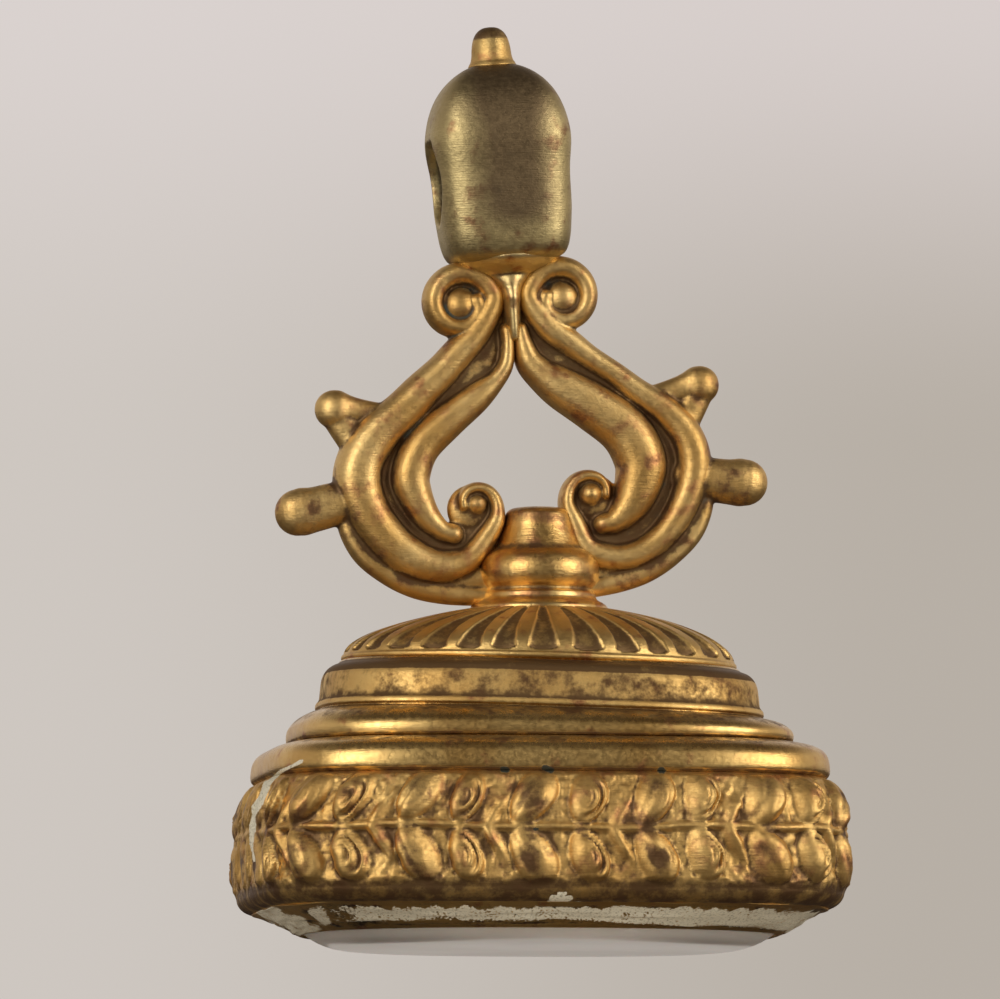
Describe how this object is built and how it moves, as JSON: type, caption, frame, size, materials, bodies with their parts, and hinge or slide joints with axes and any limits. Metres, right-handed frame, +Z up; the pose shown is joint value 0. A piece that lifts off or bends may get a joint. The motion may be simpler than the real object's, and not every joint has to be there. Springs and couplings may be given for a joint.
{
  "type": "fob seal",
  "caption": "Small gilt fob seal: oval stone in a cushion-shaped leaf-banded base, fluted dome, lyre-shaped scroll handle and a bored bail, standing on its stone to press wax.",
  "frame": {"origin": "middle of the stone's face, which the seal stands on", "axes": "+Z up the seal, +X to the right of the lyre as the picture shows it, -Y towards the viewer"},
  "size_m": [0.0212, 0.0174, 0.0316],
  "materials": {
    "stone": "polished pale grey hardstone",
    "gilt": "worn gilding over brass, browned in the recesses",
    "worn_gilt": "dull brown worn gilding",
    "bright_gilt": "rubbed bright",
    "pitch": "dark pitch",
    "cement": "brown resin cement",
    "inner_brass": "plain brass"
  },
  "bodies": {
    "root": {"seal_stone": "stone", "stone_cement": "cement", "stone_bezel": "gilt", "leaf_band": "gilt", "lower_moulding": "gilt", "upper_moulding": "gilt", "fluted_dome": "gilt", "neck_collar": "gilt", "left_scroll": "gilt", "right_scroll": "gilt", "bail_post": "gilt", "bail": "worn_gilt", "bail_finial": "bright_gilt", "base_filling": "pitch", "handle_tang": "inner_brass", "tang_washer": "inner_brass"}
  },
  "joints": []
}
